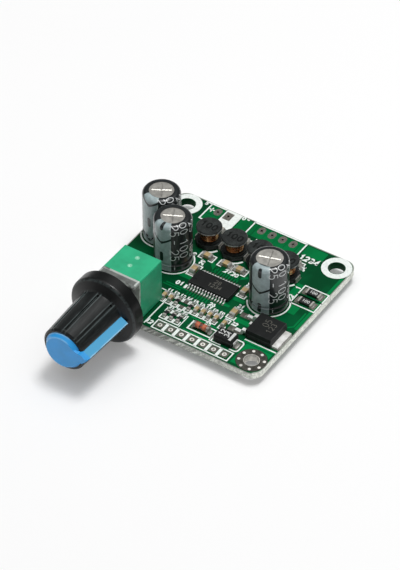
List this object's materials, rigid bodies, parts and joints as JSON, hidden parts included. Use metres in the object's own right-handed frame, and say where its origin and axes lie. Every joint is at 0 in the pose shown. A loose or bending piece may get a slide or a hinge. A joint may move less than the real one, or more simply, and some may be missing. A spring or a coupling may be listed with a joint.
{
  "type": "audio amplifier board",
  "caption": "Small stereo audio amplifier circuit board with corner mounting holes and a rotary volume control whose grooved black knob with a blue pointer overhangs the front edge.",
  "frame": {"origin": "centre of the four corner holes, on the underside of the board", "axes": "+Z out of the component side, -Y towards the knob, +X to the right seen from the knob"},
  "size_m": [0.043, 0.0586, 0.0165],
  "materials": {
    "board_laminate": "green lacquer over glass laminate",
    "housing_green": "moulded, satin",
    "cast_zinc": "die cast, satin",
    "shaft_metal": "turned",
    "rotor_plastic": "moulded",
    "wiper_spring": "stamped spring metal",
    "wafer_laminate": "pressed laminate",
    "knob_black": "moulded, fine satin",
    "pointer_blue": "moulded, glossy",
    "can_aluminium": "drawn, satin",
    "sleeve_film": "shrunk film, glossy",
    "bung_rubber": "moulded",
    "tinned_wire": "tinned",
    "ferrite": "fired, matt",
    "winding_copper": "lacquered copper wire",
    "chip_epoxy": "moulded, matt",
    "diode_glass": "tinted, glossy",
    "ceramic_tan": "fired, matt",
    "resistor_black": "glazed",
    "solder": "bright solder"
  },
  "bodies": {
    "board": {"circuit_board": "board_laminate", "pot_housing": "housing_green", "pot_front_plate": "cast_zinc", "pot_wafers": "wafer_laminate", "pot_pins": "tinned_wire", "capacitor_1_can": "can_aluminium", "capacitor_1_sleeve": "sleeve_film", "capacitor_1_bung": "bung_rubber", "capacitor_1_leads": "tinned_wire", "capacitor_2_can": "can_aluminium", "capacitor_2_sleeve": "sleeve_film", "capacitor_2_bung": "bung_rubber", "capacitor_2_leads": "tinned_wire", "capacitor_3_can": "can_aluminium", "capacitor_3_sleeve": "sleeve_film", "capacitor_3_bung": "bung_rubber", "capacitor_3_leads": "tinned_wire", "inductor_1_core": "ferrite", "inductor_1_winding": "winding_copper", "inductor_1_clips": "tinned_wire", "inductor_2_core": "ferrite", "inductor_2_winding": "winding_copper", "inductor_2_clips": "tinned_wire", "inductor_3_core": "ferrite", "inductor_3_winding": "winding_copper", "inductor_3_clips": "tinned_wire", "inductor_4_core": "ferrite", "inductor_4_winding": "winding_copper", "inductor_4_clips": "tinned_wire", "amplifier_chip_body": "chip_epoxy", "amplifier_chip_leads": "tinned_wire", "tab_package_body": "chip_epoxy", "tab_package_tab": "tinned_wire", "tab_package_leads": "tinned_wire", "rectifier_body": "chip_epoxy", "rectifier_terminals": "tinned_wire", "diode_glass": "diode_glass", "diode_caps": "tinned_wire", "large_ceramic_bodies": "ceramic_tan", "large_ceramic_ends": "tinned_wire", "small_ceramic_bodies": "ceramic_tan", "small_ceramic_ends": "tinned_wire", "small_resistor_bodies": "resistor_black", "small_resistor_ends": "tinned_wire", "large_resistor_bodies": "resistor_black", "large_resistor_ends": "tinned_wire", "underside_solder": "solder"},
    "dial": {"pot_shaft": "shaft_metal", "pot_rotors": "rotor_plastic", "pot_wipers": "wiper_spring", "knob_body": "knob_black", "knob_pointer": "pointer_blue"}
  },
  "joints": [
    {"name": "volume_turn", "type": "hinge", "parent": "board", "child": "dial", "pos_m": [-0.01075, -0.01935, 0.007], "axis": [0, 1, 0], "range_deg": [-232, 68]}
  ]
}
